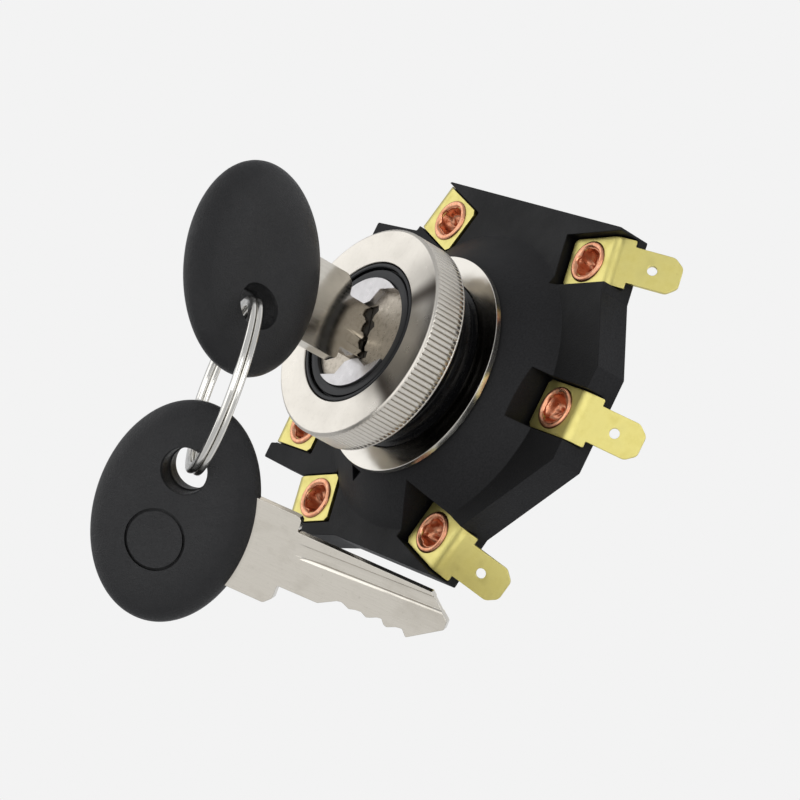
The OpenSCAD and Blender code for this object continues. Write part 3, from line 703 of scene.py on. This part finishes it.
def make_nut():
    teeth, samples = 128, 8
    z0, z1 = NUT_Z, NUT_TOP_Z
    ring = [(15.06, z0 + 0.2), (15.3, z0), (NUT_R - 0.25, z0), (NUT_R - 0.06, z0 + 0.08),
            (NUT_R, z0 + 0.2), (NUT_R, z0 + 0.34), (NUT_R - 0.05, z0 + 0.42)]
    knurl_low, knurl_high = z0 + 0.48, z1 - 0.48
    steps = 6
    knurl = [(NUT_R, knurl_low + (knurl_high - knurl_low) * k / steps)
             for k in range(steps + 1)]
    ring += knurl
    ring += [(NUT_R - 0.08, z1 - 0.4), (NUT_R - 0.2, z1 - 0.24), (NUT_R - 0.42, z1 - 0.06),
             (NUT_R - 0.6, z1), (12.8, z1), (12.55, z1 - 0.08), (12.42, z1 - 0.3),
             (12.42, NUT_FLANGE_Z), (15.06, NUT_FLANGE_Z)]

    def groove(a, r, z):
        if not knurl_low - 1e-6 <= z <= knurl_high + 1e-6 or r < NUT_R - 0.01:
            return r, z
        tooth = a * teeth / TAU
        across = abs(2 * (tooth - math.floor(tooth)) - 1)
        depth = 0.3 * max(0.0, min(1.0, (across - 0.68) / 0.25))
        wobble = noise.noise(Vector((math.floor(tooth) * 0.7, z * 0.4, 3.1)))
        return r - depth - 0.02 * abs(wobble), z

    bm = lathe(ring, teeth * samples, groove)
    piece("knurled_nut", bm, "nut", "ring_nut", NUT, smooth=40)


# ---------------------------------------------------------------- lock plug
def bow_tie():
    waist, mouth, reach = 5.0, 7.0, PLUG_R + 2
    right = [(waist, 0), (waist + 0.2, 1.6), (mouth, 3.6), (mouth - 1.4, reach)]
    up = right + [(-x, y) for x, y in reversed(right)]
    down = [(x, -y) for x, y in reversed(up[1:-1])]
    return up + down


def make_plug_face():
    turn = turn_z(KEY_ANGLE)
    slot = prism([(-4.75, -1.075), (4.75, -1.075), (4.75, 1.075), (-4.75, 1.075)],
                 CAP_Z - 1, FACE_Z + 1)
    # The ward cuts leave a ragged mouth on one side of the keyway
    ragged = prism([(4.7, -0.9), (4.7, -2.7), (3.7, -3.0), (3.0, -2.2), (2.2, -1.8),
                    (1.6, -2.5), (0.8, -2.7), (0.2, -1.9), (-0.7, -1.5), (-1.4, -1.8),
                    (-2.6, -1.3), (-3.3, -1.5), (-3.6, -2.3), (-4.7, -2.1), (-4.7, -0.9)],
                   CAP_Z - 1, FACE_Z + 1)
    bm = cylinder(PLUG_R, CAP_Z, FACE_Z, 128)
    bm = boolean(bm, [prism(bow_tie(), CAP_Z + 0.4, FACE_Z + 1), slot, ragged])
    bevel(bm, 0.12, 30, 2)
    moved(bm, turn)
    obj = piece("plug_face", bm, "lock_rotor", "plug_face_cap", FACE)
    obj.data.materials.append(PLUG)
    for face in obj.data.polygons:
        if face.center.z < (CAP_Z + 0.6) * MM:
            face.material_index = 1


# ---------------------------------------------------------------- terminals
def bent(s, y, h):
    """A point of the flat strip, s along it and h above its top face, after bending."""
    if s <= BEND_START:
        return s, y, h
    angle = TAB_SLOPE * min(1.0, (s - BEND_START) / BEND_SPAN)
    radius = BEND_R + STRIP_T + h
    past = max(0.0, s - BEND_START - BEND_SPAN)
    x = BEND_START + radius * math.sin(angle) + past * math.cos(angle)
    z = -STRIP_T - BEND_R + radius * math.cos(angle) - past * math.sin(angle)
    return x, y, z


def make_terminal(i):
    half, th = PAD_W / 2, TAB_W / 2
    wide = BEND_AT + WIDE_LEN
    tip = wide + TAB_LEN
    corners = [(-PAD_IN, -half + 0.7), (-PAD_IN + 0.7, -half), (wide, -half), (wide, -th),
               (tip - 1.7, -th), (tip, -th + 1.4), (tip, th - 1.4), (tip - 1.7, th),
               (wide, th), (wide, half), (-PAD_IN + 0.7, half), (-PAD_IN, half - 0.7)]
    radii = [0.2, 0.2, 0.3, 0.15, 1.5, 1.2, 1.2, 1.5, 0.15, 0.3, 0.2, 0.2]
    bm = prism(fillet(corners, radii, 5), -STRIP_T, 0)
    hole = moved(cylinder(TAB_HOLE_R, -2, 1, 32),
                 Matrix.Translation((wide + TAB_HOLE_OUT, 0, 0)))
    well = cylinder(EYELET_HOLE_R, -2, 1, 48)
    bm = boolean(bm, [hole, well])
    bevel(bm, 0.09, 40, 2)
    # Crosswise cuts for the bend to follow
    for k in range(9):
        geom = bm.verts[:] + bm.edges[:] + bm.faces[:]
        bmesh.ops.bisect_plane(bm, geom=geom, plane_no=(1, 0, 0),
                               plane_co=(BEND_START + BEND_SPAN * k / 8, 0, 0))
    for v in bm.verts:
        v.co = bent(*v.co)
    moved(bm, at_terminal(i))
    node = f"terminal_{i + 1}"
    piece(f"blade_{node}", bm, "switch_body", node, BRASS)


def make_eyelets():
    """Rolled copper eyelets, each pressed a little differently."""
    bm = bmesh.new()
    for i in range(7):
        phase = 1.7 * i
        end = EYELET_END_Z - T_TOP[i]

        def press(a, r, z):
            inside = max(0.0, min(1.0, (3.1 - r) / 0.8, r / 0.5)) if z > -3 else 0.0
            fold = math.sin(3 * a + phase) + 0.6 * math.sin(5 * a - 2 * phase)
            bite = noise.noise(Vector((2 * math.cos(a) + i, 2 * math.sin(a), 2 * z)))
            crease = math.sin(2 * a + phase) * math.exp(-((r - 1.1) / 0.8) ** 2)
            rr = r * (1 + inside * (0.05 * fold + 0.14 * bite)) if r > 0.01 else r
            zz = z + inside * (0.4 * crease + 0.35 * bite)
            return rr, zz

        ring = [(3.6, 0.0), (3.65, 0.06), (3.62, 0.14), (3.5, 0.26), (3.3, 0.35),
                (3.08, 0.38), (2.86, 0.32), (2.66, 0.14), (2.52, -0.15), (2.36, -0.55),
                (2.22, -1.0), (2.05, -1.45), (1.8, -1.85), (1.45, -2.1), (1.05, -2.2),
                (0.65, -2.1), (0.3, -2.2), (0, -2.25), (0, end), (EYELET_R, end),
                (EYELET_R, -0.7), (EYELET_R, 0.0)]
        x, y = T_POS[i]
        eyelet = lathe(ring, 96, press)
        add_to(bm, moved(eyelet, Matrix.Translation((x, y, T_TOP[i] + 0.005))))
        foot = boolean(cylinder(FOOT_R, FOOT_LOW_Z, FOOT_TOP_Z, 48),
                       [cylinder(FOOT_BORE_R, -16, -10, 48)])
        add_to(bm, moved(foot, Matrix.Translation((x, y, 0))))
    piece("eyelets", bm, "switch_body", "terminal_eyelets", COPPER, smooth=50)


# ---------------------------------------------------------------- keys
def key_place():
    return turn_z(KEY_ANGLE)


def spare_place():
    turn = Euler([math.radians(d) for d in SPARE_TURN], "XYZ").to_matrix().to_4x4()
    return Matrix.Translation(SPARE_AT) @ turn @ Matrix.Translation((-HEAD_SHIFT, 0, -HEAD_Z))


def make_blade(name, body, node, place):
    tip, h = SHOULDER_Z - BLADE_LEN, BLADE_HALF
    low, high = SHANK_SHIFT - SHANK_HALF, SHANK_SHIFT + SHANK_HALF
    cuts = [(0.85, 5.2), (1.9, 6.2), (1.75, 7.2), (1.1, 8.6), (1.3, 9.2), (2.05, 9.8),
            (1.9, 10.6), (1.4, 11.6), (1.2, 12.2), (1.7, 13.2), (1.6, 14.2), (1.3, 15.2),
            (1.85, 16.6), (1.7, 17.4), (0.1, 20.2)]
    outline = [(low, SHOULDER_Z), (-h, SHOULDER_Z), (-h, tip + 4), (-1.2, tip),
               (0.2, tip)]
    radii = [1.5, 0.35, 0.4, 0.3, 0.3]
    outline += [(h - depth, tip + z) for depth, z in cuts]
    radii += [0.3] * len(cuts)
    outline += [(h, SHOULDER_Z), (high - 1.2, SHOULDER_Z), (high, SHOULDER_Z + 1.2),
                (high, SHANK_TOP_Z), (low, SHANK_TOP_Z)]
    radii += [0.35, 0.8, 0.8, 0.2, 0.2]
    bm = moved(prism(fillet(outline, radii, 3), -BLADE_T / 2, BLADE_T / 2), STAND)
    # A milled groove each side, then a shallow bevel along its lower wall; both run out
    # before the shoulder
    face = BLADE_T / 2 + 1
    grooves = []
    for side, depth, wide, spread in ((1, 0.4, 0.8, 0.6), (-1, 0.4, 0.8, 0.6),
                                      (1, 0.15, 0.95, 4), (-1, 0.15, 0.95, 4)):
        bed = BLADE_T / 2 - depth
        run_out = [(bed, tip - 1), (bed, 10), (bed + 0.15 * depth, 12),
                   (bed + 0.5 * depth, 14), (bed + 1.12 * depth, 16), (face, 18),
                   (face, tip - 1)]
        groove = prism(run_out, -1, 1)
        for v in groove.verts:
            rise = v.co.x - bed
            v.co.z = wide + spread * rise if v.co.z > 0 else -0.8 - 0.4 * rise
        moved(groove, Matrix(((0, 0, 1, 0), (side, 0, 0, 0), (0, 1, 0, 0), (0, 0, 0, 1))))
        lean = Matrix.Rotation(math.radians(2.6), 4, "Y")
        moved(groove, Matrix.Translation((-2.85, 0, 0)) @ lean)
        if side < 0:
            bmesh.ops.reverse_faces(groove, faces=groove.faces)
        grooves.append(groove)
    bm = boolean(bm, grooves)
    bevel(bm, 0.16, 35, 2)
    piece(name, bm, body, node, BLADE, place)


def head_surface():
    """The head: an oval pillow, its full round rim running into faces dished in the middle."""
    sides = 192
    rows = []
    for k in range(1, 25):
        s = math.sin(math.pi / 2 * k / 24)
        dish = 0.7 * max(0.0, 1 - (s / 0.62) ** 2) ** 2
        rows.append((s, HEAD_MID * math.sqrt(max(0.0, 1 - s ** 3.2)) - dish))
    rows += [(s, -t) for s, t in reversed(rows[:-1])]
    bm = bmesh.new()
    rings = []
    for s, t in rows:
        ring = []
        for j in range(sides):
            a = TAU * j / sides
            ring.append(bm.verts.new((HEAD_A * s * math.cos(a), t, HEAD_B * s * math.sin(a))))
        rings.append(ring)
    for p, q in zip(rings, rings[1:]):
        for j in range(sides):
            k = (j + 1) % sides
            bm.faces.new((p[j], p[k], q[k], q[j]))
    for ring, t in ((rings[0], rows[0][1]), (rings[-1], -rows[0][1])):
        pole = bm.verts.new((0, t, 0))
        for j in range(sides):
            bm.faces.new((ring[j], ring[(j + 1) % sides], pole))
    return bm


def make_head(name, body, node, place, marked=False):
    bm = moved(head_surface(), Matrix.Translation((HEAD_SHIFT, 0, HEAD_Z)))
    low = SHANK_SHIFT - SHANK_HALF
    slit = prism([(low, -BLADE_T / 2), (low + 2 * SHANK_HALF, -BLADE_T / 2),
                  (low + 2 * SHANK_HALF, BLADE_T / 2), (low, BLADE_T / 2)],
                 SHOULDER_Z, SHANK_TOP_Z)
    half = [(HOLE_R - 0.1, 0), (HOLE_R - 0.1, 0.35), (HOLE_R + 0.05, 0.5),
            (HOLE_R + 0.1, 1.6), (HOLE_R + 0.17, 3.2), (HOLE_R + 0.26, 3.7),
            (HOLE_R + 0.6, 4.25)]
    profile = [(0, -5), (HOLE_R + 0.8, -5)] + [(r, -y) for r, y in reversed(half)]
    profile += half[1:] + [(HOLE_R + 0.8, 5), (0, 5)]
    hole = moved(moved(lathe(profile, 72), STAND),
                 Matrix.Translation((HEAD_SHIFT - HOLE_OFF, 0, HEAD_Z)))
    cuts = [slit, hole]
    if marked:
        groove = lathe([(4.55, 3.2), (5.0, 3.2), (5.0, 6), (4.55, 6)], 96)
        turn = Matrix(((1, 0, 0, 0), (0, 0, 1, 0), (0, 1, 0, 0), (0, 0, 0, 1)))
        cuts.append(moved(moved(groove, turn), Matrix.Translation((5.1, 0.2, HEAD_Z + 0.6))))
    bm = boolean(bm, cuts)
    piece(name, bm, body, node, RUBBER, place, smooth=50)


def make_ring():
    """Two turns of flat wire with rounded corners and square-cut ends."""
    wire = fillet([(-0.9, -0.5), (0.9, -0.5), (0.9, 0.5), (-0.9, 0.5)], 0.45, 4)
    steps = 260
    bm = bmesh.new()
    rings = []
    for i in range(steps + 1):
        a = TAU * RING_TURNS * i / steps
        lift = RING_PITCH * (RING_TURNS * i / steps - RING_TURNS / 2)
        rings.append([bm.verts.new(((RING_MEAN_R + u) * math.cos(a),
                                    (RING_MEAN_R + u) * math.sin(a), lift + v * 0.98))
                      for u, v in wire])
    for p, q in zip(rings, rings[1:]):
        for j in range(len(wire)):
            k = (j + 1) % len(wire)
            bm.faces.new((p[j], p[k], q[k], q[j]))
    bm.faces.new(rings[0])
    bm.faces.new(rings[-1][::-1])
    normal = Vector(RING_NORMAL).normalized()
    lean, bearing = math.acos(normal.z), math.atan2(normal.y, normal.x)
    place = Matrix.Translation(RING_AT) @ turn_z(bearing) @ Matrix.Rotation(lean, 4, "Y")
    piece("split_ring", bm, "ring", "key_ring", WIRE, place)


make_base()
make_cover()
make_barrel()
make_shell()
make_washer()
make_nut()
make_plug_face()
for terminal in range(7):
    make_terminal(terminal)
make_eyelets()
make_blade("key_shank", "key", "key_blade", key_place())
make_head("key_grip", "key", "key_head", key_place())
make_blade("spare_shank", "spare_key", "spare_key_blade", spare_place())
make_head("spare_grip", "spare_key", "spare_key_head", spare_place(), marked=True)
make_ring()

# The pieces inside keep their CAD shapes and get their own finishes; the lock plug's
# near-black is painted shade
INSIDE = {"seal_ring": RUBBER, "cover_screws": ZINC, "lock_plug": KEYWAY_SHADE,
          "wafer_tumblers": BRASS, "wafer_springs": WIRE, "plug_retaining_clip": ZINC,
          "switch_rotor": NATURAL, "contact_bridge": BRASS, "contact_springs": WIRE,
          "return_spring": WIRE, "detent_ball": WIRE, "detent_spring": WIRE}
for number in range(1, 8):
    INSIDE[f"fixed_contact_{number}"] = CONTACT
for node_name, finish in INSIDE.items():
    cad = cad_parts[node_name]
    cad.data.materials.clear()
    cad.data.materials.append(finish)
    cad.data.shade_smooth()
    cad.data.set_sharp_from_angle(angle=math.radians(30))


# ---------------------------------------------------------------- floor, light, camera
def make_floor():
    """A wide floor 30 cm down; the camera sees it as one plain grey."""
    half, drop, grey = 8, 0.3, 0.896
    bm = bmesh.new()
    for x, y in ((-half, -half), (half, -half), (half, half), (-half, half)):
        bm.verts.new((x, y, -drop))
    bm.faces.new(bm.verts)
    obj = as_object(bm, "floor")
    s = Surface("floor", (0.88, 0.88, 0.88), roughness=0.9)
    glow = s.nodes.new("ShaderNodeEmission")
    glow.inputs["Color"].default_value = (grey, grey, grey, 1)
    seen = s.nodes.new("ShaderNodeLightPath")
    mix = s.nodes.new("ShaderNodeMixShader")
    s.links.new(seen.outputs["Is Camera Ray"], mix.inputs[0])
    s.links.new(s.bsdf.outputs[0], mix.inputs[1])
    s.links.new(glow.outputs[0], mix.inputs[2])
    s.links.new(mix.outputs[0], s.nodes["Material Output"].inputs["Surface"])
    obj.data.materials.append(s.mat)


def softbox(name, toward, distance, width, height, power, color=(1, 1, 1)):
    """A soft light on the far end of a direction, facing the part."""
    data = bpy.data.lights.new(name, "AREA")
    data.shape = "RECTANGLE"
    data.size, data.size_y = width, height
    data.energy = power
    data.color = color
    obj = bpy.data.objects.new(name, data)
    aim = Vector((0.01, 0, 0.01))
    way = Vector(toward).normalized()
    obj.location = aim + way * distance
    obj.rotation_euler = way.to_track_quat("Z", "Y").to_euler()
    bpy.context.scene.collection.objects.link(obj)


def make_world():
    """A soft grey sky, paler low down than overhead."""
    world = bpy.data.worlds.new("studio")
    bpy.context.scene.world = world
    world.use_nodes = True
    nodes, links = world.node_tree.nodes, world.node_tree.links
    back = nodes["Background"]
    coords = nodes.new("ShaderNodeTexCoord")
    split = nodes.new("ShaderNodeSeparateXYZ")
    ramp = nodes.new("ShaderNodeValToRGB")
    links.new(coords.outputs["Generated"], split.inputs[0])
    spread = nodes.new("ShaderNodeMapRange")
    spread.inputs["From Min"].default_value = -1
    links.new(split.outputs["Z"], spread.inputs["Value"])
    links.new(spread.outputs[0], ramp.inputs[0])
    ramp.color_ramp.elements[0].position = 0.35
    ramp.color_ramp.elements[0].color = (0.75, 0.75, 0.76, 1)
    ramp.color_ramp.elements[1].position = 0.9
    ramp.color_ramp.elements[1].color = (0.55, 0.56, 0.58, 1)
    links.new(ramp.outputs[0], back.inputs["Color"])
    back.inputs["Strength"].default_value = 0.8


def make_camera():
    """A long lens, set by its bearing, its height and its roll."""
    bearing, height, roll = (math.radians(d) for d in (84.3, 35.82, -60.78))
    aim, distance = Vector((6.43, 0.09, -1.01)) * MM, 0.62
    data = bpy.data.cameras.new("camera")
    data.lens = 168.75
    data.sensor_width = 36
    data.clip_start, data.clip_end = 0.01, 50
    obj = bpy.data.objects.new("camera", data)
    back = Vector((math.cos(height) * math.cos(bearing), math.cos(height) * math.sin(bearing),
                   math.sin(height)))
    level = Vector((-math.sin(bearing), math.cos(bearing), 0))
    right = level * math.cos(roll) + back.cross(level) * math.sin(roll)
    place = Matrix((right, back.cross(right), back)).transposed().to_4x4()
    place.translation = aim + back * distance
    obj.matrix_world = place
    bpy.context.scene.collection.objects.link(obj)
    bpy.context.scene.camera = obj


make_floor()
make_world()
softbox("back_key", (-0.1, -0.81, 0.6), 0.8, 1.0, 0.6, 1.5)
softbox("overhead", (0.1, 0.12, 1.0), 0.9, 1.0, 1.0, 2.9)
softbox("side_fill", (0.55, 0.46, 0.75), 1.0, 0.6, 0.6, 0.32, (1, 0.97, 0.92))
softbox("front_fill", (-0.3, 1.0, 0.4), 1.0, 0.7, 0.7, 2.8)
make_camera()
bpy.context.scene.view_settings.view_transform = "Standard"
